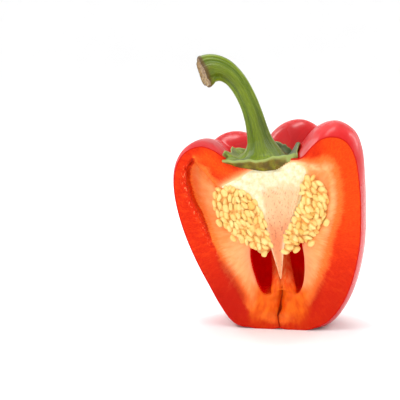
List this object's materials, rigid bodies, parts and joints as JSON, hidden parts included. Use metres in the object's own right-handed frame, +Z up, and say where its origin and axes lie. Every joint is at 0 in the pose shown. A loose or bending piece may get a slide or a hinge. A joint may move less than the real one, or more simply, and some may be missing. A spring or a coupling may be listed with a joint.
{
  "type": "bell pepper half",
  "caption": "Ripe red bell pepper cut lengthways in front of its stem, standing on its lobes, with its core, seeds, calyx and curved stem.",
  "frame": {"origin": "middle of the bounding box's underside, on the surface that the pepper stands on", "axes": "+Z up along the pepper's height, +Y from the cut face into the pepper, +X to the right of someone facing the cut"},
  "size_m": [0.084, 0.0562, 0.1176],
  "materials": {
    "flesh": "waxy gloss on the skin, wet satin on the cut flesh",
    "core": "moist spongy matte",
    "seed": "smooth satin",
    "calyx": "leaf satin",
    "stem": "ribbed satin with a corky cut end"
  },
  "bodies": {
    "root": {"flesh": "flesh", "placenta_core": "core", "calyx": "calyx", "stem": "stem", "seeds_front_left": "seed", "seeds_front_right": "seed", "seeds_back_left": "seed", "seeds_back_right": "seed", "seed_01": "seed", "seed_02": "seed", "seed_03": "seed", "seed_04": "seed", "seed_05": "seed", "seed_06": "seed"}
  },
  "joints": []
}
